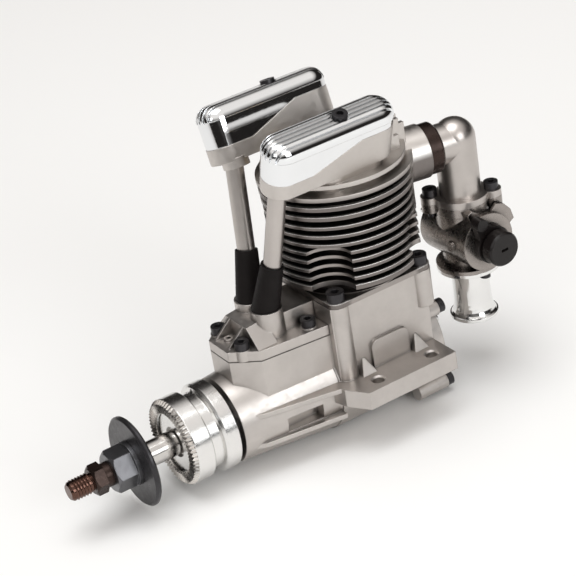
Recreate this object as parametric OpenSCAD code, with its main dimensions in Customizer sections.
// Four-stroke single-cylinder engine for model aircraft.
// Y is the crank axis, with the propeller towards -Y. Z is the cylinder axis.
// The origin is where the two axes cross, midway between the four lug holes.

/* [Crankcase] */
// Wall of the crank chamber
case_wall = 1.4; // [1.2:0.1:3]
// Front of the block, from the cylinder axis
block_front = 19.5; // [19:0.1:22]
// Rear face of the block, from the cylinder axis
block_rear = 16.5; // [15:0.1:20]
// Height of the face that the cylinder stands on
deck_z = 30.5; // [29:0.1:36]
// Radius of the crank chamber
chamber_r = 16; // [15.9:0.05:16.2]
// Radius of the nose at its front end
nose_r = 14; // [13.5:0.1:15]
// Front end of the nose, from the cylinder axis
nose_end = 53; // [52:0.1:56]
// Wall between the front bearing and the front end of the nose
nose_lip = 1; // [0.6:0.1:1.5]

/* [Mounting lugs] */
// Distance between the hole rows across the engine
lug_hole_across = 48.3; // [48:0.1:52]
// Distance between the holes along the engine
lug_hole_along = 20.2; // [18:0.1:22]
// Diameter of the lug holes
lug_hole_d = 3.6; // [3:0.1:4.2]
// Thickness of the lugs
lug_thick = 6; // [4:0.1:8]
// Height of the top face of the lugs
lug_top = 5.3; // [4:0.1:6]
// Metal outside the lug holes
lug_margin = 4.7; // [4:0.1:6]

/* [Cam housing] */
// Distance of the cam axis in front of the cylinder axis
cam_ahead = 34; // [33:0.1:35]
// Height of the cam axis
cam_z = 15; // [15:0.1:16]
// Radius of the cam's pin
cam_pin_r = 2.5; // [2:0.1:3]
// Tip radius of the cam gear
cam_gear_r = 8.3; // [7.6:0.1:8.4]
// Radius of the nose of a lobe
lobe_nose_r = 8.5; // [8.45:0.05:8.6]
// Lift of a lobe
lobe_lift = 2; // [1.5:0.1:2.1]
// Tip radius of the gear on the crankshaft
crank_gear_r = 6.3; // [5.8:0.05:6.3]
// Height of the face that the cam cover stands on
cam_deck_z = 21; // [20.8:0.1:22]
// Thickness of the cam cover's flange
cam_cover_t = 3.2; // [2.4:0.1:3.6]
// Thickness of the gasket under the cam cover
gasket_t = 0.4; // [0.3:0.1:0.8]
// Distance of each tappet from the middle plane
tappet_x = 4.5; // [4.4:0.05:4.8]
// Radius of a tappet's stem
tappet_r = 2.6; // [2.5:0.05:2.7]
// Height of the top of the tappet bosses
boss_top_z = 33.2; // [32.8:0.1:34]

/* [Cylinder] */
// Bore of the cylinder
bore_d = 26; // [25:0.1:26.4]
// Radius of the barrel between the fins
barrel_r = 16; // [15.5:0.1:17]
// Radius of the fins
fin_r = 23.1; // [21:0.1:24.4]
// Thickness of a fin
fin_t = 1.05; // [0.8:0.05:1.6]
// Distance from one barrel fin to the next
fin_pitch = 2.9; // [2.6:0.05:3]
// Height of the lowest fin above the deck
fin_start = 8.3; // [8:0.1:9]
// Number of fins on the barrel
fin_count = 7; // [5:1:7]
// Distance from one head fin to the next
head_fin_pitch = 3.25; // [3:0.05:3.4]
// Spacing of the cylinder's screws, a square
base_screw_span = 31; // [30.6:0.1:31.4]
// Height of the face of the head's deck above the block's deck
head_deck_rise = 39.8; // [39:0.1:42]

/* [Crank drive] */
// Stroke of the piston
stroke = 21; // [20:0.1:21.4]
// Length of the connecting rod between its centres
rod_length = 37; // [36.5:0.1:38]
// Diameter of the crankpin
crankpin_d = 6; // [5:0.1:6.2]
// Diameter of the wrist pin
wrist_pin_d = 6; // [5:0.1:6.5]
// Diameter of the shaft at its nose
shaft_d = 8; // [7.6:0.1:8.4]
// Outer diameter of the rear bearing
rear_bearing_d = 28; // [27:0.1:28.4]
// Radial depth of the rear bearing
rear_race = 6.5; // [6:0.1:7]
// Radial depth of the front bearing
front_race = 7; // [6:0.1:7.3]
// Width of both bearings
bearing_w = 7; // [6:0.1:7.4]

/* [Propeller drive] */
// Diameter of the thread for the nuts
thread_d = 6; // [5.6:0.1:7]
// Front end of the shaft, from the cylinder axis
shaft_end = 106.6; // [105:0.1:110]
// Face of the driver, from the cylinder axis
driver_face = 70.6; // [70:0.1:72]
// Radius of the driver's rear flange
driver_flange_r = 14.4; // [13.8:0.1:16]
// Radius of the knurled face ring
driver_ring_r = 14; // [13.2:0.1:15]
// Radius of the driver's neck
driver_neck_r = 12.3; // [11.6:0.1:12.8]
// Gap kept for the propeller's hub
prop_gap = 12.4; // [8:0.1:13.2]
// Radius of the propeller washer
washer_r = 14.5; // [12:0.1:18]
// Thickness of the propeller washer
washer_t = 1.9; // [1.4:0.1:2.6]
// Width across the flats of the propeller nut
prop_nut_af = 12; // [11:0.1:14]
// Width across the flats of the lock nut
lock_nut_af = 8.6; // [8.2:0.1:11]

/* [Valve train] */
// Lean of each valve line, outwards from the cylinder axis
lean = 18; // [17.6:0.1:18.4]
// Valve centre at its seat, from the middle plane
seat_x = 8.65; // [8.5:0.05:8.8]
// Height of the valve seats above the deck
seat_rise = 27.5; // [27.3:0.1:27.8]
// Radius of a valve's head
valve_r = 4.4; // [4:0.05:4.5]
// Radius of a valve's stem
stem_r = 1.25; // [1:0.05:1.5]
// Valve lift, which is also the travel of a pushrod
valve_lift = 2; // [1.5:0.1:2.1]
// Half width of a rocker cover
cover_r = 6.2; // [6.1:0.05:6.6]
// Wall of a rocker cover
cover_wall = 1.1; // [0.9:0.05:1.2]
// Length of a rocker cover between the centres of its round ends
cover_span = 32; // [31.6:0.1:34]
// Centre of a cover's front round end, from the cylinder axis
cover_front = 27; // [26.8:0.1:27.4]
// Number of ribs on top of a rocker cover
rib_count = 7; // [3:2:9]
// Height of those ribs
rib_h = 0.7; // [0.4:0.05:0.9]
// Radius of the pushrod tubes
tube_r = 2.8; // [2.7:0.05:2.9]
// Radius of a pushrod
pushrod_r = 0.85; // [0.7:0.05:0.9]

/* [Intake] */
// Turn of the intake's centre line from the X axis
intake_turn = 80; // [79:0.5:81]
// Height of the intake's centre line
intake_z = 62; // [61.5:0.1:62.5]
// Distance of the intake's joint face from the cylinder axis
intake_face = 29; // [28.5:0.1:30]
// Radius of the intake ring nut
intake_ring_r = 8.1; // [7.6:0.1:8.4]
// Outer radius of the intake pipe
pipe_r = 6.6; // [6.2:0.1:6.8]
// Wall of the intake pipe
pipe_wall = 1.3; // [1:0.1:1.8]
// Distance of the downdraught from the cylinder axis
pipe_reach = 40.6; // [40.5:0.1:41.5]

/* [Carburettor] */
// Height of the throttle's axis
throttle_z = 30.5; // [30:0.1:31]
// Radius of the carburettor's body around the throttle barrel
carb_r = 9.4; // [9:0.1:9.6]
// Radius of the throttle barrel
throttle_r = 6.2; // [5.8:0.1:6.6]
// Length of the body from the throat to the throttle arm's side
carb_left = 12; // [11:0.1:13]
// Radius of the throat
throat_r = 4; // [3.4:0.1:4.6]
// Height of the velocity stack's mouth
stack_mouth_z = 0.8; // [0:0.1:4]
// Radius of the velocity stack's flare
stack_flare_r = 7.8; // [7:0.1:8.4]

/* [Fits] */
// Radial clearance of a running fit
run_fit = 0.04; // [0.02:0.01:0.08]
// Clearance round a screw
screw_fit = 0.2; // [0.1:0.05:0.4]
// Gap between parts that pass each other
pass_gap = 0.3; // [0.2:0.05:0.4]

/* [Hidden] */
$fn = 48;

// Screws, as head radius, head height and shank radius
m3 = [2.75, 3, 1.5];
m25 = [2.3, 2.4, 1.25];
block_half = chamber_r + case_wall;
lug_hole_x = lug_hole_across / 2;
lug_hole_y = lug_hole_along / 2;
lug_outer = lug_hole_x + lug_margin;
lug_bottom = lug_top - lug_thick;
base_screw = base_screw_span / 2;
backplate_t = 4;
backplate_screw_x = 13.8;
backplate_screw_z = 13.4;
backplate_post_r = 2.6;
panel_half = 6.9;
panel_round = 2.4;
panel_top = 14.4;

// The crank line, as distances in front of the cylinder axis
rod_width = 6;
crankpin_end_gap = 0.3;
web_rear = rod_width / 2 + 0.9;
web_front = web_rear + 7;
rear_bearing_at = web_front + 0.6;
front_bearing_at = nose_end - nose_lip - bearing_w;
crank_throw = stroke / 2;
web_r = chamber_r - 0.5;
journal_d = rear_bearing_d - 2 * rear_race;
front_bearing_d = shaft_d + 2 * front_race;
gallery_r = journal_d / 2 + rear_race * 0.3 + 0.25;
crown_rise = 6.5;
crown_t = 1.6;
pin_z = crank_throw + rod_length;
crown_z = pin_z + crown_rise;
skirt_z = pin_z - 6.5;
washer_at = driver_face + prop_gap;
nut_at = washer_at + washer_t;
lock_nut_at = nut_at + 7.8;
thread_at = washer_at - 1;
lock_nut_collar = 2.4;
lock_nut_end = lock_nut_at + lock_nut_collar + 3.9;
thread_relief = 0.5;

collet_at = nose_end - nose_lip + 1.2;
collet_end = driver_face - 1.6;
collet_big_r = shaft_d / 2 + 2.4;
collet_small_r = shaft_d / 2 + 1;
// Turn of the driver's bar hole from straight up
tommy_turn = -12;

cover_floor_z = cam_deck_z + gasket_t;
cover_back_y = 0.5 - block_front;
cover_flange_z = cover_floor_z + cam_cover_t;
cam_cavity_half = 9.6;
tappet_gap = 0.25;
cam_pin_half = cam_cavity_half + 2.2;
tappet_foot_z = cam_z + lobe_nose_r + tappet_gap;
tappet_foot_t = 1.5;
tappet_room_z = tappet_foot_z + tappet_foot_t + valve_lift + 0.5;
tappet_top_z = boss_top_z - 0.2;
tappet_y = -(cam_ahead - 0.4);
tappet_cup_r = 1.95;
cam_screws = [[6.8, -45], [10.5, -23.4]];
boss_r = 4.3;
// Webs of the cam cover, by their distance from the middle plane
cover_webs = [-3.8, 3.8];
web_t = 0.9;
cam_roof_half = 6;
cam_roof_z = boss_top_z - 3.2;
cam_roof_front = -(cam_ahead + 8.2);
cam_ramp_rear = -(cam_ahead + 1.3);

seat_z = deck_z + seat_rise;
head_deck_z = deck_z + head_deck_rise;
bore_top_z = seat_z - 1.2;
skirt_clear_z = deck_z - 8;
exhaust_turn = 52;
plug_at = [0, -8.5];
cover_rear = cover_span - cover_front;
// Stations along a valve line, measured from its seat; the rocker's pivot sets the rest
rocker_pivot_h = 25.5;
arm_rise = 3.1;
box_floor = rocker_pivot_h - 8.5;
box_cavity = rocker_pivot_h - 6;
box_rim_front = rocker_pivot_h - 3.5;
box_rim_rear = rocker_pivot_h + 2.5;
adjuster_tip_h = rocker_pivot_h - 2.1;
stem_top_h = rocker_pivot_h - 2.2;
retainer_h = stem_top_h - 2.1;
// The arm's pad stands just clear of the stem, below the pivot
pad_drop = stem_top_h + 0.12 - rocker_pivot_h;
bridge_h = rocker_pivot_h + arm_rise + pass_gap;
bridge_t = 1.4;
cover_top = bridge_h + bridge_t + 4.3;
// A fine step runs round each cover where its dome begins
seam_h = cover_top - 4.4;
seam_step = 0.2;
rib_pitch = 2 * (cover_r - 0.6) / rib_count;
rib_gap = 0.6;
rocker_pivot_y = -11.5;
rocker_shaft_r = 2;
rocker_shaft_half = cover_r - cover_wall - 0.3;
rocker_half = 2.6;
valve_y = 2.5;
adjuster_y = -26.4;
adjuster_u = -1.5;
spring_pocket_h = 12;
spring_pocket_r = 4.5;
spring_coil_r = 3.2;
spring_wire_r = 0.55;
spring_turns = 4;
retainer_t = 1.4;
cover_screw_y = -7;

// Pushrod and tube, from the tappet up to the rocker
pushrod_ball_r = 1;
pushrod_low = [tappet_x - 0.1, tappet_y, tappet_top_z - 2.1 + pushrod_ball_r + 0.1];
pushrod_high = leaned_point([adjuster_u, adjuster_y, adjuster_tip_h - 0.2]);
tube_low = [6.2, -31.3, 41];
tube_high = [12.0, -27.0, 73.0];
boot_low = [tappet_x, tappet_y, boss_top_z];
boot_high = [7.3, -30.45, 47.6];
boot_r = 4.35;

intake_ring_t = 4.6;
intake_ring_end = intake_face + intake_ring_t;
// The ball corner stands a little above the line of the port
corner_rise = 0.9;
pipe_end_less = 0.1;
pipe_x = pipe_reach * cos(intake_turn);
pipe_y = pipe_reach * sin(intake_turn);
pipe_flange_z = 42;
pipe_flange_t = 2.2;
carb_ear = 9.6;
carb_ear_turn = 55;
carb_top_z = pipe_flange_z;
carb_disc_z = 19.5;
carb_disc_t = 1.3;
carb_disc_r = 10.3;
carb_right = 11;
stack_r = 6;
stack_top_z = carb_disc_z;
stack_flange_t = 1.1;
stack_screw_x = 8.2;
stack_in_r = stack_r - 1.1;

// Places a child's z axis forward along the crank line
module forward(from = 0) translate([0, -from, 0]) rotate([90, 0, 0]) children();

// Places a child's z axis from one point towards another
module toward(p, q) {
    d = q - p;
    translate(p) rotate([0, acos(d[2] / norm(d)), atan2(d[1], d[0])]) children();
}

module bar(p, q, r) toward(p, q) cylinder(r = r, h = norm(q - p));

// Left is +X; right is its mirror image
module on_side(left) {
    if (left) children();
    else mirror([1, 0, 0]) children();
}

// The leaning frame of a valve line: x is outwards, z runs up the line
module leaned() translate([seat_x, 0, seat_z]) rotate([0, lean, 0]) children();

function leaned_point(p) = [
    seat_x + p[0] * cos(lean) + p[2] * sin(lean),
    p[1],
    seat_z - p[0] * sin(lean) + p[2] * cos(lean)];

module ring(r_out, r_in, h) difference() {
    cylinder(r = r_out, h = h);
    translate([0, 0, -1]) cylinder(r = r_in, h = h + 2);
}

// A socket screw standing on the plane z = 0 with its shank below
module socket_screw(size, length) {
    difference() {
        cylinder(r = size[0], h = size[1]);
        translate([0, 0, size[1] * 0.45]) cylinder(r = size[0] * 0.5, h = size[1], $fn = 6);
    }
    translate([0, 0, -length]) cylinder(r = size[2], h = length);
}

// A slab with parallel sides and round ends, along y
module stadium(r, y0, y1, h) {
    translate([0, y0, 0]) cylinder(r = r, h = h);
    translate([0, y1, 0]) cylinder(r = r, h = h);
    translate([-r, y0, 0]) cube([2 * r, y1 - y0, h]);
}

module four(x, y) {
    for (i = [-1, 1], j = [-1, 1]) translate([i * x, j * y, 0]) children();
}

// Outline of the cam housing from above, at a distance outside its wall
module cam_outline(grow = 0, back = -17) {
    half = cam_cavity_half + 4.2 + grow;
    mid = -(cam_ahead + 8);
    front = -(cam_ahead + 15.6 + grow);
    polygon([[half + 0.8, back], [half - 1.6, mid], [5.4 + grow / 2, front],
        [-5.4 - grow / 2, front], [1.6 - half, mid], [-half - 0.8, back]]);
}

module lug() {
    front = -(lug_hole_y + 6.6);
    rear = block_rear - 0.4;
    translate([0, 0, lug_bottom]) linear_extrude(lug_thick)
        polygon([[block_half - 3, front - 6], [21.7, -21], [lug_outer, front],
            [lug_outer, rear], [block_half - 3, rear]]);
}

// Lug holes with their countersinks
module lug_holes() for (i = [-1, 1], j = [-1, 1])
    translate([i * lug_hole_x, j * lug_hole_y, 0]) {
        translate([0, 0, lug_bottom - 1]) cylinder(d = lug_hole_d, h = lug_thick + 2);
        translate([0, 0, lug_top - 0.5])
            cylinder(r1 = lug_hole_d / 2, r2 = lug_hole_d / 2 + 0.7, h = 0.7);
    }

// Thin webs along the side of the nose, the upper one in line with the lug
module nose_side() for (web = [[lug_top - 1.5, 3.4], [-6.6, 1.4]])
    translate([0, 0, web[0]]) linear_extrude(1.5)
        polygon([[0, -nose_end + 3], [nose_r - 1.5, -nose_end + 3],
            [nose_r + 0.6, -nose_end + 7], [block_half + web[1], -block_front],
            [0, -block_front]]);

// Pocket between the two webs
module nose_pocket() translate([nose_r - 2.2, -nose_end + 14.6, -4.6]) cube([10, 12.2, 5]);

// Posts at the block's corners carry the cylinder's screws
module block_posts() for (i = [-1, 1], j = [-1, 1]) {
    foot = j < 0 ? lug_top - 1 : block_half + 0.6;
    translate([i * base_screw, j * base_screw, foot]) cylinder(r = 3.3, h = deck_z - foot);
}

// A pointed gusset: a triangle against the block that thins towards its tip
module gusset(y) translate([block_half - 1, y, lug_top - 0.5]) intersection() {
    rotate([90, 0, 90]) linear_extrude(6)
        polygon([[-2.8, 0], [2.8, 0], [0.4, 5], [-0.4, 5]]);
    rotate([90, 0, 0]) linear_extrude(8, center = true)
        polygon([[0, 0], [4, 0], [0.7, 5], [0, 5]]);
}

// The gussets, and the bare rounded panel between them
module block_side() {
    gusset(-10);
    gusset(9.8);
    translate([block_half - 1.2, 0, 0]) rotate([90, 0, 90]) linear_extrude(1.7) {
        translate([-panel_half, lug_top - 0.5])
            square([2 * panel_half, panel_top - panel_round - lug_top + 0.5]);
        translate([panel_round - panel_half, lug_top])
            square([2 * (panel_half - panel_round), panel_top - lug_top]);
        for (i = [-1, 1]) translate([i * (panel_half - panel_round), panel_top - panel_round])
            circle(r = panel_round);
    }
}

module crankcase_outside() {
    forward(-block_rear) cylinder(r = block_half, h = block_front + block_rear);
    translate([-block_half + 0.6, -block_front + 0.6, 0])
        cube([2 * block_half - 1.2, block_front + block_rear - 0.6, deck_z]);
    forward(block_front - 0.5) cylinder(r1 = block_half - 0.3, r2 = nose_r,
        h = nose_end - block_front + 0.5);
    linear_extrude(cam_deck_z) cam_outline();
    block_posts();
    for (s = [true, false]) on_side(s) {
        lug();
        nose_side();
        block_side();
    }
    for (i = [-1, 1], j = [-1, 1])
        translate([i * backplate_screw_x, 0, j * backplate_screw_z])
            forward(-block_rear) cylinder(r = backplate_post_r, h = 7);
}

module crankcase_inside() {
    forward(-block_rear - 1) cylinder(r = chamber_r, h = block_rear + 1 + rear_bearing_at);
    forward(rear_bearing_at - 1) cylinder(d = rear_bearing_d, h = bearing_w + 1);
    forward(rear_bearing_at) cylinder(r = gallery_r, h = nose_end);
    forward(front_bearing_at) cylinder(d = front_bearing_d, h = nose_end);
    cylinder(r = bore_d / 2 + 1.55, h = deck_z + 1);
    translate([-cam_cavity_half, -cam_ahead - 9.6, 0])
        cube([2 * cam_cavity_half, 18.8, cam_deck_z + 1]);
    translate([-cam_pin_half, -cam_ahead, cam_z])
        rotate([0, 90, 0]) cylinder(r = cam_pin_r, h = 2 * cam_pin_half);
    four(base_screw, base_screw) translate([0, 0, deck_z - 9])
        cylinder(r = m3[2], h = 10);
    for (p = cam_screws, i = [-1, 1]) translate([i * p[0], p[1], cam_deck_z - 6])
        cylinder(r = m25[2], h = 7);
    for (i = [-1, 1], j = [-1, 1])
        translate([i * backplate_screw_x, 0, j * backplate_screw_z])
            forward(-block_rear - 1) cylinder(r = m25[2], h = 7);
}

module crankcase() color("silver") difference() {
    crankcase_outside();
    crankcase_inside();
    lug_holes();
    for (s = [true, false]) on_side(s) nose_pocket();
}

module backplate() color("silver") difference() {
    union() {
        forward(-block_rear - backplate_t) {
            cylinder(r = block_half - 0.6, h = backplate_t);
            cylinder(r = chamber_r - run_fit, h = backplate_t + 2);
            for (i = [-1, 1], j = [-1, 1])
                translate([i * backplate_screw_x, j * backplate_screw_z, 0])
                    cylinder(r = backplate_post_r, h = backplate_t);
        }
        forward(-block_rear - backplate_t - 1.2) cylinder(r = 8, h = 1.5);
    }
    forward(-block_rear - backplate_t - 2)
        for (i = [-1, 1], j = [-1, 1])
            translate([i * backplate_screw_x, j * backplate_screw_z, 0])
                cylinder(r = m25[2] + screw_fit, h = backplate_t + 4);
    translate([0, block_rear + backplate_t - 2.6, 0]) rotate([-90, 0, 0]) cylinder(r = 2.1, h = 6);
}

module backplate_screws() color("dimgray")
    for (i = [-1, 1], j = [-1, 1])
        translate([i * backplate_screw_x, block_rear + backplate_t, j * backplate_screw_z])
            rotate([-90, 0, 0]) socket_screw(m25, backplate_t + 4.5);

module breather_nipple() color("silver")
    translate([0, block_rear + backplate_t - 2.6, 0]) rotate([-90, 0, 0]) difference() {
        union() {
            cylinder(r = 2.1, h = 3.8);
            translate([0, 0, 3.8]) cylinder(d = 6, h = 2.6, $fn = 6);
            translate([0, 0, 6.4]) cylinder(r = 1.5, h = 4.8);
            translate([0, 0, 11.2]) cylinder(r1 = 1.5, r2 = 1.2, h = 0.6);
        }
        translate([0, 0, -1]) cylinder(r = 0.8, h = 20);
    }

module cam_cover_gasket() color("dimgray") translate([0, 0, cam_deck_z]) difference() {
    linear_extrude(gasket_t) cam_outline(0, cover_back_y);
    translate([-cam_cavity_half, -cam_ahead - 9.6, -1]) cube([2 * cam_cavity_half, 18.8, 3]);
    for (p = cam_screws, i = [-1, 1]) translate([i * p[0], p[1], -1])
        cylinder(r = m25[2] + screw_fit, h = 3);
}

// The cover's roof: a deck in front, a narrower one behind, and a ramp on each side
module cam_cover_roof() {
    rise = cam_roof_z - cover_flange_z;
    rotate([90, 0, 90]) translate([0, 0, -cam_roof_half]) linear_extrude(2 * cam_roof_half)
        polygon([[cam_roof_front, cover_flange_z - 1], [cam_roof_front, cam_roof_z],
            [-cam_ahead, cam_roof_z + 1], [-cam_ahead, cover_flange_z - 1]]);
    translate([0, cam_ramp_rear, cover_flange_z]) rotate([90, 0, 0])
        linear_extrude(cam_ramp_rear - cam_roof_front)
            polygon([[-cam_cavity_half - 2, -1], [-cam_cavity_half - 2, 0], [-cam_roof_half, rise],
                [cam_roof_half, rise], [cam_cavity_half + 2, 0], [cam_cavity_half + 2, -1]]);
    rotate([90, 0, 90]) translate([0, 0, -tappet_x - 3]) linear_extrude(2 * tappet_x + 6)
        polygon([[-cam_ahead, cover_flange_z - 1], [-cam_ahead, cam_roof_z + 1],
            [cover_back_y, cam_roof_z + 0.4], [cover_back_y, cover_flange_z - 1]]);
}

// Thin webs run from the front deck down to the rim, with open pockets beside them
module cam_cover_webs() {
    for (x = cover_webs) translate([x - web_t / 2, 0, cover_flange_z])
        rotate([90, 0, 90]) linear_extrude(web_t)
            polygon([[cam_roof_front - 6, -0.5], [cam_roof_front - 6, 0.2],
                [cam_roof_front, cam_roof_z - cover_flange_z], [cam_roof_front + 1, 2],
                [cam_roof_front + 1, -0.5]]);
    translate([-1, cam_roof_front - 2.8, cover_flange_z - 0.5]) cylinder(r = 1.5, h = 1.3);
}

module cam_cover() color("silver") difference() {
    union() {
        translate([0, 0, cover_floor_z]) linear_extrude(cam_cover_t) cam_outline(0, cover_back_y);
        cam_cover_roof();
        cam_cover_webs();
        for (i = [-1, 1]) translate([i * tappet_x, tappet_y, cover_floor_z])
            cylinder(r = boss_r + 0.7, h = boss_top_z - cover_floor_z);
        for (p = cam_screws, i = [-1, 1]) translate([i * p[0], p[1], cover_floor_z])
            cylinder(r = m25[0] + 0.3, h = cam_cover_t + 0.3);
    }
    for (i = [-1, 1]) translate([i * tappet_x, tappet_y, 0]) {
        cylinder(r = tappet_r + run_fit, h = boss_top_z + 1);
        cylinder(r = tappet_r + 0.9, h = tappet_room_z);
    }
    translate([-cam_roof_half - 0.3, -cam_ahead - 6, cover_floor_z - 1])
        cube([2 * cam_roof_half + 0.6, 12, cam_z + lobe_nose_r + 0.4 - cover_floor_z + 1]);
    for (p = cam_screws, i = [-1, 1]) translate([i * p[0], p[1], cover_floor_z - 1])
        cylinder(r = m25[2] + screw_fit, h = cam_cover_t + 9);
    translate([-1, cam_roof_front - 2.8, cover_flange_z - 1]) cylinder(r = 0.7, h = 3);
}

module cam_cover_screws() color("dimgray")
    for (p = cam_screws, i = [-1, 1]) translate([i * p[0], p[1], cover_flange_z])
        translate([0, 0, 0.3]) socket_screw(m25, cam_cover_t + gasket_t + 4.8);

module cam_pin() color("gainsboro") translate([-cam_pin_half, -cam_ahead, cam_z])
    rotate([0, 90, 0]) cylinder(r = cam_pin_r, h = 2 * cam_pin_half);

// Teeth of a gear whose axis is z, as a ring of wedges
module gear(tip_r, depth, count, h) difference() {
    cylinder(r = tip_r, h = h);
    for (k = [0 : count - 1]) rotate(k * 360 / count)
        translate([tip_r, 0, -1]) cylinder(r = depth * 0.62, h = h + 2, $fn = 4);
}

// A lobe: its base circle and its nose, joined by a tapering flank
module lobe(h) {
    base_r = lobe_nose_r - lobe_lift;
    nose_tip_r = 1.8;
    cylinder(r = base_r, h = h);
    translate([lobe_nose_r - nose_tip_r, 0, 0]) cylinder(r = nose_tip_r, h = h);
    linear_extrude(h) polygon([[0, -base_r + 0.3], [lobe_nose_r - nose_tip_r, -nose_tip_r],
        [lobe_nose_r - nose_tip_r, nose_tip_r], [0, base_r - 0.3]]);
}

module cam_gear() color("slategray") translate([0, -cam_ahead, cam_z]) rotate([0, 90, 0])
    difference() {
        union() {
            translate([0, 0, -3]) gear(cam_gear_r, 1.5, 24, 6);
            translate([0, 0, 3]) rotate(35) lobe(3);
            translate([0, 0, -6]) rotate(145) lobe(3);
            translate([0, 0, -9.2]) cylinder(r = 4, h = 18.4);
        }
        translate([0, 0, -10]) cylinder(r = cam_pin_r + run_fit, h = 20);
    }

module tappet(left) color("gainsboro") on_side(left) translate([tappet_x, tappet_y, 0])
    difference() {
        union() {
            translate([0, 0, tappet_foot_z]) cylinder(r = tappet_r + 0.6, h = tappet_foot_t);
            translate([0, 0, tappet_foot_z]) cylinder(r = tappet_r, h = tappet_top_z - tappet_foot_z);
        }
        translate([0, 0, tappet_top_z - 2.1]) cylinder(r = tappet_cup_r, h = 3);
    }
module tappet_left() tappet(true);
module tappet_right() tappet(false);

// Counterweight: the web's disc with both flanks cut away beside the pin
module crankshaft() color("gainsboro") difference() {
    union() {
        difference() {
            forward(web_rear) cylinder(r = web_r, h = web_front - web_rear);
            for (i = [-1, 1]) translate([i * 12.6, 0, 9.5])
                cube([10, 40, 20], center = true);
        }
        forward(web_front - 0.1) cylinder(d = journal_d, h = bearing_w + 1.4);
        forward(web_front) cylinder(r = crank_gear_r - 1.9, h = front_bearing_at - web_front);
        forward(web_front) cylinder(d = shaft_d, h = thread_at - web_front);
        forward(thread_at) cylinder(d = thread_d, h = shaft_end - thread_at - 0.7);
        forward(shaft_end - 0.7) cylinder(d1 = thread_d, d2 = thread_d - 1.2, h = 0.7);
    }
    translate([0, -web_rear, crank_throw]) rotate([-90, 0, 0])
        translate([0, 0, -1.6]) cylinder(d = crankpin_d + 0.6, h = 3);
    forward(lock_nut_end) ring(thread_d, thread_d / 2 - 0.35, thread_relief);
}

module crank_gear() color("slategray") forward(cam_ahead - 4.2) difference() {
    gear(crank_gear_r, 1.3, 15, 8.4);
    translate([0, 0, -1]) cylinder(r = crank_gear_r - 1.9 + 0.02, h = 12);
}

function ball_r(d_in, d_out) = (d_out - d_in) / 8.6;

module race_inner(d_in, d_out) difference() {
    cylinder(d = d_in + (d_out - d_in) * 0.3, h = bearing_w);
    translate([0, 0, -1]) cylinder(d = d_in, h = bearing_w + 2);
    translate([0, 0, bearing_w / 2]) rotate_extrude()
        translate([(d_in + d_out) / 4, 0]) circle(r = ball_r(d_in, d_out) + 0.06);
}

module race_outer(d_in, d_out) difference() {
    cylinder(d = d_out, h = bearing_w);
    translate([0, 0, -1]) cylinder(d = d_out - (d_out - d_in) * 0.3, h = bearing_w + 2);
    translate([0, 0, bearing_w / 2]) rotate_extrude()
        translate([(d_in + d_out) / 4, 0]) circle(r = ball_r(d_in, d_out) + 0.06);
}

module balls(d_in, d_out, count) for (k = [0 : count - 1]) rotate(k * 360 / count)
    translate([(d_in + d_out) / 4, 0, bearing_w / 2]) sphere(r = ball_r(d_in, d_out), $fn = 24);

module rear_bearing_inner() color("gainsboro")
    forward(rear_bearing_at) race_inner(journal_d, rear_bearing_d);
module rear_bearing_outer() color("gainsboro")
    forward(rear_bearing_at) race_outer(journal_d, rear_bearing_d);
module rear_bearing_balls() color("white")
    forward(rear_bearing_at) balls(journal_d, rear_bearing_d, 9);
module front_bearing_inner() color("gainsboro")
    forward(front_bearing_at) race_inner(shaft_d, front_bearing_d);
module front_bearing_outer() color("gainsboro")
    forward(front_bearing_at) race_outer(shaft_d, front_bearing_d);
module front_bearing_balls() color("white")
    forward(front_bearing_at) balls(shaft_d, front_bearing_d, 8);

// The driver grips the shaft through a slit taper
module drive_collet() color("gray") forward(collet_at) difference() {
    cylinder(r1 = collet_big_r, r2 = collet_small_r, h = collet_end - collet_at);
    translate([0, 0, -1]) cylinder(d = shaft_d, h = collet_end);
    translate([0, -0.4, -1]) cube([20, 0.8, 40]);
}

module prop_driver() color("gainsboro") {
    rear = nose_end + 1.1;
    neck_at = rear + 5.6;
    ring_at = driver_face - 7;
    difference() {
        forward(rear) rotate_extrude() polygon([
            [0, 0], [driver_flange_r - 0.8, 0], [driver_flange_r, 0.8],
            [driver_flange_r, neck_at - rear - 0.8], [driver_flange_r - 0.8, neck_at - rear],
            [driver_neck_r, neck_at - rear + 0.4], [driver_neck_r, ring_at - rear - 0.4],
            [driver_ring_r - 0.5, ring_at - rear], [driver_ring_r, ring_at - rear + 0.5],
            [driver_ring_r, driver_face - rear - 1.2], [driver_ring_r - 1, driver_face - rear],
            [driver_ring_r - 3.6, driver_face - rear], [driver_ring_r - 4.4, driver_face - rear - 0.8],
            [0, driver_face - rear - 0.8]]);
        forward(collet_at) cylinder(r1 = collet_big_r, r2 = collet_small_r,
            h = collet_end - collet_at);
        forward(collet_at - 3) cylinder(r = collet_big_r, h = 3);
        forward(collet_end - 0.5) cylinder(r = collet_small_r, h = 8);
        translate([0, -neck_at - 1.4, 0]) rotate([0, tommy_turn, 0])
            translate([0, 0, driver_neck_r - 4]) cylinder(r = 1.4, h = 8);
    }
}

module prop_washer() color("dimgray") forward(washer_at) difference() {
    rotate_extrude() polygon([[0, 0], [washer_r - 0.5, 0], [washer_r, 0.5],
        [washer_r, washer_t - 0.6], [washer_r - 0.6, washer_t], [0, washer_t]]);
    translate([0, 0, -1]) cylinder(r = shaft_d / 2 + screw_fit, h = washer_t + 2);
}

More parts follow.
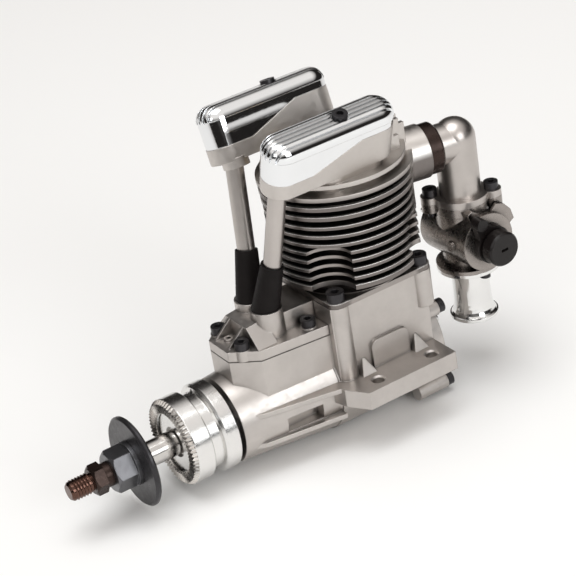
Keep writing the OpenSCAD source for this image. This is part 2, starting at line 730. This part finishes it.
// A hexagon nut whose corners are turned to a cone
module hex_nut(af, h, collar_r, collar_h) {
    corner_r = af / 2 / cos(30);
    cylinder(r = collar_r, h = collar_h);
    intersection() {
        cylinder(r = corner_r, h = h, $fn = 6);
        union() {
            cylinder(r = corner_r, h = h - 0.9);
            translate([0, 0, h - 0.9]) cylinder(r1 = corner_r, r2 = corner_r - 1, h = 0.9);
        }
    }
}

module prop_nut() color("dimgray") forward(nut_at) difference() {
    hex_nut(prop_nut_af, lock_nut_at - nut_at, prop_nut_af / 2 + 1.1, 1.4);
    translate([0, 0, -1]) cylinder(d = thread_d, h = 20);
}

module lock_nut() color("saddlebrown") forward(lock_nut_at) difference() {
    union() {
    cylinder(r = lock_nut_af / 2 - 0.4, h = lock_nut_collar);
    translate([0, 0, lock_nut_collar])
        hex_nut(lock_nut_af, lock_nut_end - lock_nut_at - lock_nut_collar, lock_nut_af / 2, 0.4);
    }
    translate([0, 0, -1]) cylinder(d = thread_d, h = 20);
}

module piston() color("gainsboro") difference() {
    translate([0, 0, skirt_z]) cylinder(r = bore_d / 2 - run_fit, h = crown_z - skirt_z);
    translate([0, 0, skirt_z - 1]) cylinder(r = bore_d / 2 - 1.6, h = crown_z - crown_t - skirt_z + 1);
    translate([0, 0, crown_z - 3]) ring(bore_d / 2 + 1, bore_d / 2 - 1, 1.2);
    translate([0, 20, pin_z]) rotate([90, 0, 0]) cylinder(d = wrist_pin_d, h = 40);
}

module piston_ring() color("dimgray") translate([0, 0, crown_z - 2.95]) difference() {
    ring(bore_d / 2 - run_fit, bore_d / 2 - 0.9, 1.1);
    translate([-0.3, -20, -1]) cube([0.6, 10, 4]);
}

module wrist_pin() color("gainsboro") translate([0, bore_d / 2 - 1, pin_z]) rotate([90, 0, 0])
    ring(wrist_pin_d / 2, wrist_pin_d / 2 - 1.5, bore_d - 2);

module connecting_rod() color("silver") forward(-rod_width / 2) difference() {
    union() {
        translate([0, pin_z, 0]) cylinder(d = wrist_pin_d + 3.2, h = rod_width);
        translate([0, crank_throw, 0]) cylinder(d = crankpin_d + 3.8, h = rod_width);
        translate([0, 0, rod_width / 4]) linear_extrude(rod_width / 2)
            polygon([[-3.4, crank_throw + 2], [3.4, crank_throw + 2],
                [2.7, pin_z - 2], [-2.7, pin_z - 2]]);
    }
    translate([0, pin_z, -1]) cylinder(d = wrist_pin_d + 2 * run_fit, h = rod_width + 2);
    translate([0, crank_throw, -1]) cylinder(d = crankpin_d, h = rod_width + 2);
}

// The crankpin rides in the rod: the loop is open between its end and the web
module crankpin_bush() color("gainsboro") forward(-rod_width / 2)
    translate([0, crank_throw, 0]) ring(crankpin_d / 2, 1.4,
        rod_width / 2 + web_rear - crankpin_end_gap);

module head_fins() {
    for (k = [0 : fin_count - 1]) translate([0, 0, deck_z + fin_start + k * fin_pitch])
        cylinder(r = fin_r, h = fin_t);
    top_fin = deck_z + fin_start + (fin_count - 1) * fin_pitch;
    for (k = [1 : 3]) translate([0, 0, top_fin + k * head_fin_pitch - 0.1])
        cylinder(r = fin_r + 0.3 * k, h = fin_t + 0.3);
    translate([0, 0, head_deck_z - 1.4]) cylinder(r = fin_r - 1, h = 1.4);
}

// Plate fins stand on the head's deck between and behind the rocker boxes
module plate_fins() for (p = [[0, -2, 27, 78], [4.3, -2, 26.5, 79], [-4.3, -2, 26.5, 79],
        [8.3, 3, 21, 77.6], [-8.3, 3, 21, 77.6], [12.4, 8, 16, 76.4], [-12.4, 8, 16, 76.4]])
    translate([p[0] - 0.7, 0, 0]) {
        low = min(p[2], fin_r - 2);
        translate([0, p[1], head_deck_z - 2])
            cube([1.4, low - p[1], p[3] - head_deck_z + 2 - 1.8]);
        translate([0, p[1] + 1.8, head_deck_z])
            cube([1.4, low - p[1] - 3.6, p[3] - head_deck_z]);
    }

// The split line between a rocker box and its cover, seen from the side
module above_split(h = 20) translate([-20, 0, 0]) rotate([90, 0, 90]) linear_extrude(40)
    polygon([[-60, box_rim_front], [-20, box_rim_front], [-3, box_rim_rear],
        [60, box_rim_rear], [60, box_rim_rear + h], [-60, box_rim_rear + h]]);

module rocker_box_outside() {
    difference() {
        translate([0, 0, box_floor]) stadium(cover_r - 0.15, -cover_front, cover_rear, 14);
        above_split();
    }
    translate([0, 0, 8]) stadium(cover_r - 0.4, -9, valve_y, box_floor - 7.9);
    translate([0, -cover_front, box_floor - 2.2]) translate([adjuster_u - 0.6, 0.5, 0])
        cylinder(r = tube_r + 1.4, h = 3);
}

module rocker_box_inside() {
    inner = cover_r - cover_wall;
    difference() {
        translate([0, 0, box_cavity]) stadium(inner, -cover_front, cover_rear, 14);
        for (i = [-1, 1]) translate([i * (inner - 0.9) - 0.9, -13.8, 0]) cube([1.8, 9.4, 40]);
    }
    translate([0, valve_y, spring_pocket_h]) ring(spring_pocket_r, 2, 20);
    translate([0, valve_y, spring_pocket_h + 2.2]) cylinder(r = spring_pocket_r, h = 20);
    translate([0, valve_y, 0]) cylinder(r = stem_r + run_fit, h = 30);
    translate([0, valve_y, -4]) cylinder(r = valve_r + pass_gap, h = 5.7);
    translate([0, valve_y, 0]) cylinder(r = valve_r - 0.7, h = 7.6);
}

// Posts that hold a rocker's shaft, with the bridge that its cover screws to
module rocker_posts() {
    inner = cover_r - cover_wall - 0.08;
    intersection() {
        for (i = [-1, 1]) translate([i * (inner - 0.9) - 0.9, -13.8, box_cavity - 0.5])
            cube([1.8, 9.4, bridge_h + bridge_t - box_cavity + 0.5]);
        translate([0, 0, box_cavity - 1]) stadium(inner, -cover_front, cover_rear, 30);
    }
    translate([-inner + 0.9, cover_screw_y - 2.6, bridge_h]) cube([2 * inner - 1.8, 5.2, bridge_t]);
}

// Outside of a port's boss, square to the cylinder axis
module port_boss(turn) rotate([0, 0, turn]) translate([10, 0, intake_z]) rotate([0, 90, 0])
    cylinder(r = 8.6, h = intake_face - 10);

module port_duct(turn) {
    from = leaned_point([0, valve_y, 4.4]);
    to = [(intake_face - 8) * cos(turn), (intake_face - 8) * sin(turn), intake_z];
    bar(from, to, 3.4);
    rotate([0, 0, turn]) translate([intake_face - 9, 0, intake_z]) rotate([0, 90, 0])
        cylinder(r = pipe_r - pipe_wall, h = 20);
}

module head_outside() {
    cylinder(r = bore_d / 2 + 1.5, h = deck_z + 1);
    translate([0, 0, deck_z]) cylinder(r = fin_r - 4.4, h = 2);
    for (s = [0, 90]) rotate(s) translate([-base_screw - 3.2, -base_screw, deck_z])
        cube([2 * base_screw + 6.4, 2 * base_screw, 1.6]);
    four(base_screw, base_screw) translate([0, 0, deck_z]) cylinder(r = 3.2, h = 1.6);
    translate([0, 0, deck_z]) cylinder(r = barrel_r, h = head_deck_z - deck_z);
    translate([0, 0, deck_z + 5]) cylinder(r = fin_r, h = 1.6);
    head_fins();
    plate_fins();
    for (s = [true, false]) on_side(s) leaned() rocker_box_outside();
    port_boss(intake_turn);
    mirror([1, 0, 0]) port_boss(exhaust_turn);
    translate([plug_at[0], plug_at[1], head_deck_z - 3]) cylinder(r = 5, h = 5.4);
}

module cylinder_part() color("silver") difference() {
    union() {
        difference() {
            head_outside();
            cylinder(r = bore_d / 2 + 2, h = skirt_clear_z);
            translate([0, 0, -1]) cylinder(d = bore_d, h = bore_top_z + 1);
            translate([0, 0, bore_top_z - 0.01])
                cylinder(r1 = bore_d / 2, r2 = bore_d / 2 - 6, h = 3.4);
            four(base_screw, base_screw) translate([0, 0, deck_z - 1])
                cylinder(r = m3[2] + screw_fit, h = 4);
            four(base_screw + 3.7, base_screw + 3.7) translate([0, 0, deck_z + 1.6])
                cylinder(r = 8.5, h = 17.4);
            for (s = [true, false]) on_side(s) leaned() rocker_box_inside();
            port_duct(intake_turn);
            mirror([1, 0, 0]) port_duct(exhaust_turn);
            translate([plug_at[0], plug_at[1], bore_top_z]) cylinder(r = 3, h = 30);
            for (s = [true, false]) on_side(s)
                toward(tube_low, tube_high) cylinder(r = tube_r + 0.02, h = norm(tube_high - tube_low));
            for (s = [true, false]) on_side(s)
                bar(pushrod_low, pushrod_high, tube_r - 0.5);
        }
        for (s = [true, false]) on_side(s) leaned() rocker_posts();
    }
    for (s = [true, false]) on_side(s) leaned() {
        translate([-rocker_shaft_half, rocker_pivot_y, rocker_pivot_h]) rotate([0, 90, 0])
            cylinder(r = rocker_shaft_r, h = 2 * rocker_shaft_half);
        translate([0, cover_screw_y, bridge_h - 1]) cylinder(r = 1.25, h = 4);
    }
}

module cylinder_screws() color("dimgray") four(base_screw, base_screw)
    translate([0, 0, deck_z + 1.6]) socket_screw(m3, 10);

module glow_plug() color("goldenrod") translate([plug_at[0], plug_at[1], 0]) {
    seat = head_deck_z + 2.4;
    translate([0, 0, bore_top_z + 3.6]) cylinder(r = 3, h = seat - bore_top_z - 3.6);
    translate([0, 0, seat]) cylinder(r = 4.6, h = 0.8);
    translate([0, 0, seat + 0.8]) cylinder(d = 8, h = 3.4, $fn = 6);
    translate([0, 0, seat + 4.2]) cylinder(r = 1.6, h = 2);
    translate([0, 0, seat + 6.2]) cylinder(r = 1.1, h = 2.4);
}

module valve(left) color("lightgray") on_side(left) leaned() translate([0, valve_y, 0]) {
    cylinder(r = valve_r, h = 0.6);
    translate([0, 0, 0.6]) cylinder(r1 = valve_r, r2 = valve_r - 1.1, h = 0.95);
    translate([0, 0, 1.55]) cylinder(r1 = valve_r - 1.6, r2 = stem_r, h = 2.6);
    cylinder(r = stem_r, h = stem_top_h);
}
module valve_left() valve(true);
module valve_right() valve(false);

module valve_retainer(left) color("gray") on_side(left) leaned()
    translate([0, valve_y, retainer_h]) difference() {
        cylinder(r = 3.9, h = retainer_t);
        translate([0, 0, -1]) cylinder(r = stem_r, h = 6);
    }
module valve_retainers_left() valve_retainer(true);
module valve_retainers_right() valve_retainer(false);

// A coil of round wire: rings of points swept up a helix
function coil_point(t, a, h0, rise) = let (
    turn = t * 360 * spring_turns,
    r = spring_coil_r + spring_wire_r * cos(a))
    [r * cos(turn), r * sin(turn), h0 + rise * t + spring_wire_r * sin(a)];

module valve_spring(left) color("gray") on_side(left) leaned() translate([0, valve_y, 0]) {
    sides = 6;
    rings = 13 * spring_turns;
    h0 = spring_pocket_h + spring_wire_r + 0.15;
    rise = retainer_h - spring_wire_r - 0.15 - h0;
    points = [for (i = [0 : rings], k = [0 : sides - 1])
        coil_point(i / rings, k * 360 / sides, h0, rise)];
    walls = [for (i = [0 : rings - 1], k = [0 : sides - 1]) let (n = (k + 1) % sides)
        [i * sides + k, i * sides + n, (i + 1) * sides + n, (i + 1) * sides + k]];
    polyhedron(points, concat(walls, [[for (k = [sides - 1 : -1 : 0]) k],
        [for (k = [0 : sides - 1]) rings * sides + k]]));
}
module valve_spring_left() valve_spring(true);
module valve_spring_right() valve_spring(false);

module rocker_arm(left) color("dimgray") on_side(left) leaned() difference() {
    union() {
        translate([-rocker_half, rocker_pivot_y, rocker_pivot_h]) rotate([0, 90, 0])
            cylinder(r = rocker_shaft_r + 1.5, h = 2 * rocker_half);
        translate([-rocker_half, 0, rocker_pivot_h])
            rotate([90, 0, 90]) linear_extrude(2 * rocker_half - 0.2) polygon([
                [adjuster_y - 2, -0.5], [adjuster_y - 2, 2.1], [rocker_pivot_y, arm_rise],
                [valve_y + 2, 0.5], [valve_y + 2, -1.5], [valve_y + 0.6, pad_drop],
                [valve_y - 0.6, pad_drop], [valve_y - 3, -1.5], [rocker_pivot_y, -2.1]]);
        translate([adjuster_u, adjuster_y, adjuster_tip_h + 0.1]) {
            cylinder(r1 = 0.7, r2 = 1, h = 1);
            cylinder(r = 1, h = 4.6);
            translate([0, 0, 3.2]) cylinder(d = 3.8, h = 1, $fn = 6);
        }
    }
    translate([-10, rocker_pivot_y, rocker_pivot_h]) rotate([0, 90, 0])
        cylinder(r = rocker_shaft_r + run_fit, h = 20);
}
module rocker_arm_left() rocker_arm(true);
module rocker_arm_right() rocker_arm(false);

module rocker_shafts() color("gainsboro") for (s = [true, false]) on_side(s) leaned()
    translate([-rocker_shaft_half, rocker_pivot_y, rocker_pivot_h]) rotate([0, 90, 0])
        cylinder(r = rocker_shaft_r, h = 2 * rocker_shaft_half);

// Half section of a cover's dome: a wall whose upper edge is a quarter round
module dome_section(r, top) {
    edge = top - seam_h;
    translate([0, seam_h]) square([r - edge, edge]);
    intersection() {
        translate([r - edge, seam_h]) circle(r = edge);
        translate([r - edge, seam_h]) square(edge);
    }
}

// The dome over the whole stadium, as two turned ends and a straight middle
module dome(r, top) {
    for (y = [-cover_front, cover_rear]) translate([0, y, 0]) rotate_extrude() dome_section(r, top);
    translate([0, cover_rear, 0]) rotate([90, 0, 0]) linear_extrude(cover_span) {
        dome_section(r, top);
        mirror([1, 0]) dome_section(r, top);
    }
}

// Grooves along the dome leave its ribs standing
module dome_grooves() for (k = [1 : rib_count - 1])
    translate([(k - rib_count / 2) * rib_pitch - rib_gap / 2, -cover_front - 20, seam_h - 1])
        cube([rib_gap, cover_span + 40, 20]);

module rocker_cover(left) color("white") on_side(left) leaned() difference() {
    union() {
        intersection() {
            translate([0, 0, box_rim_front])
                stadium(cover_r - seam_step, -cover_front, cover_rear, seam_h - box_rim_front);
            above_split();
        }
        dome(cover_r - rib_h, cover_top - rib_h);
        difference() {
            dome(cover_r, cover_top);
            dome_grooves();
        }
    }
    translate([0, 0, box_rim_front - 1])
        stadium(cover_r - cover_wall + 0.02, -cover_front + 0.8, cover_rear - 0.8,
            bridge_h + bridge_t + pass_gap - box_rim_front + 1);
    translate([0, cover_screw_y, cover_top - 1.4]) cylinder(r = m25[0] + 0.5, h = 6);
    translate([0, cover_screw_y, box_rim_front]) cylinder(r = 1.25 + screw_fit, h = 20);
}
module rocker_cover_left() rocker_cover(true);
module rocker_cover_right() rocker_cover(false);

module rocker_cover_screws() color("dimgray") for (s = [true, false]) on_side(s) leaned()
    translate([0, cover_screw_y, cover_top - 1.4])
        socket_screw([m25[0], m25[1], 1.25], cover_top - 1.4 - bridge_h - 0.1);

module pushrod(left) color("gray") on_side(left) {
    bar(pushrod_low, pushrod_high, pushrod_r);
    translate(pushrod_low) sphere(r = pushrod_ball_r);
}
module pushrod_left() pushrod(true);
module pushrod_right() pushrod(false);

module pushrod_tube(left) color("lightgray") on_side(left) toward(tube_low, tube_high)
    ring(tube_r, tube_r - 0.45, norm(tube_high - tube_low));
module pushrod_tube_left() pushrod_tube(true);
module pushrod_tube_right() pushrod_tube(false);

// A boot tapers from the boss up the tube's line, and is cut level on the boss
module pushrod_boot(left) color("#1c1a1a") on_side(left) difference() {
    toward(boot_low + (boot_low - boot_high) * 0.2, boot_high)
        cylinder(r1 = boot_r + 0.15, r2 = tube_r + 0.7, h = norm(boot_high - boot_low) * 1.2);
    translate([-20, -60, boss_top_z - 20]) cube([60, 60, 20]);
    bar(tube_low, tube_high, tube_r);
    translate([tappet_x, tappet_y, 0]) cylinder(r = tappet_r + 0.4, h = boss_top_z + 3.8);
    bar(pushrod_low, pushrod_high, 2.3);
}
module pushrod_boot_left() pushrod_boot(true);
module pushrod_boot_right() pushrod_boot(false);

module intake_ring_nut() color("#2a1d17") rotate([0, 0, intake_turn])
    translate([intake_face, 0, intake_z]) rotate([0, 90, 0]) difference() {
        union() {
            cylinder(r = intake_ring_r, h = intake_ring_t - 0.6);
            translate([0, 0, intake_ring_t - 0.6])
                cylinder(r1 = intake_ring_r, r2 = intake_ring_r - 0.5, h = 0.6);
        }
        translate([0, 0, -1]) cylinder(r = pipe_r - pipe_end_less + 0.05, h = intake_ring_t + 2);
    }

// The pipe: straight into the ring, over a ball corner, and down to its flange
module intake_pipe() color("lightgray") difference() {
    union() {
        intake_run(pipe_r);
        pipe_flange(pipe_flange_z, pipe_flange_t);
    }
    intake_run(pipe_r - pipe_wall, 1);
    carb_ears() translate([0, 0, pipe_flange_z - 1]) cylinder(r = m25[2] + screw_fit, h = 8);
}

module intake_run(r, over = 0) rotate([0, 0, intake_turn]) {
    translate([intake_face - over, 0, intake_z]) rotate([0, 90, 0])
        cylinder(r = r - pipe_end_less, h = pipe_reach - intake_face + over);
    translate([pipe_reach, 0, intake_z + corner_rise]) sphere(r = r);
    translate([pipe_reach, 0, pipe_flange_z - over])
        cylinder(r = r, h = intake_z + corner_rise - pipe_flange_z + over);
}

// The two screw ears beside the throat
module carb_ears() for (i = [-1, 1])
    translate([pipe_x + i * carb_ear * cos(carb_ear_turn),
        pipe_y + i * carb_ear * sin(carb_ear_turn), 0]) children();

module pipe_flange(z, t) {
    translate([pipe_x, pipe_y, z]) cylinder(r = pipe_r + 2.2, h = t);
    carb_ears() translate([0, 0, z]) cylinder(r = 3.1, h = t);
}

module intake_pipe_screws() color("dimgray") carb_ears()
    translate([0, 0, pipe_flange_z + pipe_flange_t]) socket_screw(m25, pipe_flange_t + 5);

// An angular stop beside the arm, with a boss for its small screw below
module carb_stop() translate([pipe_x + carb_left - 6.6, pipe_y, throttle_z]) {
    rotate([0, 90, 0]) rotate(186) linear_extrude(5)
        polygon([[0, 3], [carb_r + 1.8, 4.4], [carb_r + 2.4, 2.6], [carb_r, -0.6], [0, -3]]);
    rotate([90, 0, 0]) cylinder(r = 1.7, h = carb_r + 0.9);
}

// A flat quadrant behind the ring face
module carb_fan() translate([pipe_x + carb_left - 3, pipe_y, throttle_z]) rotate([0, 90, 0])
    rotate(128) linear_extrude(1) polygon([[0, -4], [carb_r + 2, -5], [carb_r + 3.4, -1.6],
        [carb_r + 3.2, 2.2], [carb_r + 1.6, 4.6], [0, 4]]);

module carburettor_body() color("gray") difference() {
    union() {
        pipe_flange(carb_top_z - 3, 3);
        translate([pipe_x, pipe_y, throttle_z]) cylinder(r = pipe_r + 2, h = carb_top_z - throttle_z);
        translate([pipe_x - carb_right, pipe_y, throttle_z]) rotate([0, 90, 0])
            cylinder(r = carb_r, h = carb_right + carb_left);
        translate([pipe_x, pipe_y, carb_disc_z]) cylinder(r = carb_disc_r, h = carb_disc_t);
        translate([pipe_x, pipe_y, carb_disc_z]) cylinder(r = carb_disc_r - 2.5, h = 8);
        carb_stop();
        carb_fan();
    }
    translate([pipe_x, pipe_y, carb_disc_z - 1]) cylinder(r = throat_r, h = 40);
    translate([pipe_x - carb_right + 2, pipe_y, throttle_z]) rotate([0, 90, 0])
        cylinder(r = throttle_r + run_fit, h = 40);
    translate([pipe_x - carb_right - 1, pipe_y, throttle_z]) rotate([0, 90, 0])
        cylinder(r = 2, h = 10);
    carb_ears() translate([0, 0, carb_top_z - 5]) cylinder(r = m25[2], h = 8);
    translate([pipe_x, pipe_y, 0]) for (i = [-1, 1]) translate([i * stack_screw_x, 0, carb_disc_z - 1])
        cylinder(r = 1, h = 5);
}

module throttle_barrel() color("dimgray")
    translate([pipe_x - carb_right + 2.3, pipe_y, throttle_z]) rotate([0, 90, 0]) difference() {
        union() {
            cylinder(r = throttle_r, h = carb_right + carb_left - 2.3);
            translate([0, 0, 5]) cylinder(r = throttle_r - 1.4, h = carb_right + carb_left - 6.2);
        }
        translate([0, 0, carb_right - 2.3]) rotate([0, 90, 0]) cylinder(r = throat_r, h = 30, center = true);
        translate([0, 0, -1]) cylinder(r = 2, h = 4);
        translate([0, 0, 14.6]) cylinder(r = 1.6, h = 20);
    }

// The arm clamps on the barrel's end and points up and forward
module throttle_arm() color("#151515")
    translate([pipe_x + carb_left + 0.4, pipe_y, throttle_z]) rotate([0, 90, 0]) difference() {
        union() {
            cylinder(r = throttle_r - 0.1, h = 2.6);
            rotate(207) {
                linear_extrude(2.6) polygon([[0, -4.6], [9.4, -1.9], [9.4, 1.9], [0, 4.6]]);
                translate([9.8, 0, 0]) cylinder(r = 2, h = 3.8);
            }
        }
        translate([0, 0, -1]) cylinder(r = throttle_r - 1.4, h = 1.9);
        translate([0, 0, -1]) cylinder(r = 1.6, h = 8);
    }

// A knurled thimble with a slot, on the end of the throttle's axis
module idle_needle_knob() color("#151515")
    translate([pipe_x + carb_left + 3.2, pipe_y, throttle_z]) rotate([0, 90, 0]) difference() {
        union() {
            rotate_extrude() polygon([[0, 0], [4.8, 0], [5.6, 0.8], [5.6, 4.2], [5.1, 4.9], [0, 4.9]]);
            translate([0, 0, -2.7]) cylinder(r = 1.55, h = 3.2);
        }
        translate([0, 0, 5]) cube([0.9, 2.6, 2], center = true);
    }

module main_needle() color("silver")
    translate([pipe_x - carb_right - 7, pipe_y, throttle_z]) rotate([0, 90, 0]) {
        cylinder(r = 2.9, h = 4.4);
        cylinder(r = 1.95, h = 9.1);
        translate([0, 0, -4]) cylinder(r = 1.2, h = 4.2);
    }

// The stack: a straight neck that flares to its mouth
module velocity_stack() color("gainsboro") translate([pipe_x, pipe_y, 0]) difference() {
    stack_turned();
    for (i = [-1, 1]) translate([i * stack_screw_x, 0, stack_top_z - stack_flange_t - 1])
        cylinder(r = 1 + screw_fit, h = stack_flange_t + 2);
}

module stack_turned() rotate_extrude()
    difference() {
        union() {
            translate([0, stack_mouth_z]) square([stack_r, stack_top_z - stack_mouth_z]);
            polygon(concat([[0, stack_mouth_z], [stack_flare_r, stack_mouth_z]],
                [for (a = [0 : 15 : 90]) [stack_r + (stack_flare_r - stack_r) * (1 - sin(a)),
                    stack_mouth_z + 0.9 + 6 * (1 - cos(a))]], [[0, stack_mouth_z + 6.9]]));
            translate([0, stack_top_z - stack_flange_t]) square([carb_disc_r, stack_flange_t]);
        }
        translate([-1, stack_mouth_z + 4]) square([stack_in_r + 1, 40]);
        polygon(concat([[-1, stack_mouth_z - 1], [stack_flare_r - 0.9, stack_mouth_z - 1]],
            [for (a = [0 : 15 : 90]) [stack_in_r + (stack_flare_r - 0.9 - stack_in_r) * (1 - sin(a)),
                stack_mouth_z + 5 * (1 - cos(a))]], [[-1, stack_mouth_z + 5]]));
    }

module velocity_stack_screws() color("dimgray") translate([pipe_x, pipe_y, 0])
    for (i = [-1, 1]) translate([i * stack_screw_x, 0, stack_top_z - stack_flange_t])
        rotate([180, 0, 0]) socket_screw([1.7, 1.6, 1], 3.4 + stack_flange_t);

crankcase();
backplate();
backplate_screws();
breather_nipple();
cam_cover_gasket();
cam_cover();
cam_cover_screws();
cam_pin();
cam_gear();
tappet_left();
tappet_right();
crankshaft();
crank_gear();
rear_bearing_inner();
rear_bearing_outer();
rear_bearing_balls();
front_bearing_inner();
front_bearing_outer();
front_bearing_balls();
drive_collet();
prop_driver();
prop_washer();
prop_nut();
lock_nut();
piston();
piston_ring();
wrist_pin();
connecting_rod();
crankpin_bush();
cylinder_part();  // cylinder
cylinder_screws();
glow_plug();
valve_left();
valve_right();
valve_retainers_left();
valve_retainers_right();
valve_spring_left();
valve_spring_right();
rocker_arm_left();
rocker_arm_right();
rocker_shafts();
rocker_cover_left();
rocker_cover_right();
rocker_cover_screws();
pushrod_left();
pushrod_right();
pushrod_tube_left();
pushrod_tube_right();
pushrod_boot_left();
pushrod_boot_right();
intake_ring_nut();
intake_pipe();
intake_pipe_screws();
carburettor_body();
velocity_stack();
velocity_stack_screws();
throttle_barrel();
throttle_arm();
idle_needle_knob();
main_needle();
